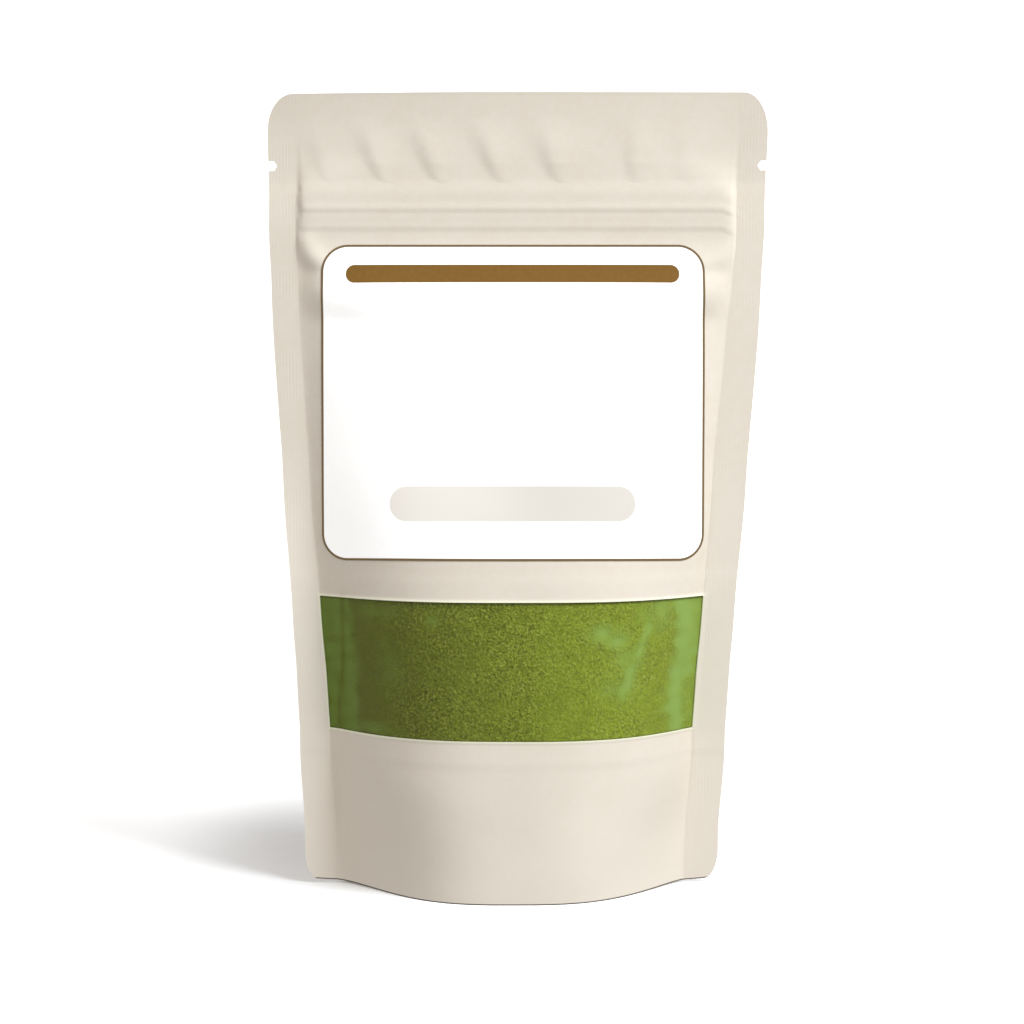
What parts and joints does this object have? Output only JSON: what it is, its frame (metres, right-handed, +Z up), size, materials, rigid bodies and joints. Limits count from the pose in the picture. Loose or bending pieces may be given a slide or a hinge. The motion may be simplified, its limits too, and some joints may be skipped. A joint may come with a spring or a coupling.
{
  "type": "stand-up pouch of green powder",
  "caption": "Sealed stand-up paper pouch filled with green powder, with a clear window strip, a blank label, tear notches, a press-to-close zip and a folded base that stands flat.",
  "frame": {"origin": "on the floor under the middle of the standing base", "axes": "+Z up along the standing pouch, +X to the right across its width as seen from the front, and the front with the window and label faces -Y"},
  "size_m": [0.13, 0.0558, 0.207],
  "materials": {
    "rice_paper": "matte",
    "clear_film": "gloss",
    "zip_plastic": "satin",
    "label_paper": "satin",
    "green_powder": "matte"
  },
  "bodies": {
    "root": {"front_paper_upper": "rice_paper", "front_paper_lower": "rice_paper", "window_film": "clear_film", "back_panel": "rice_paper", "bottom_gusset": "rice_paper", "zip_track_front": "zip_plastic", "zip_track_back": "zip_plastic", "label": "label_paper", "powder_fill": "green_powder"}
  },
  "joints": []
}
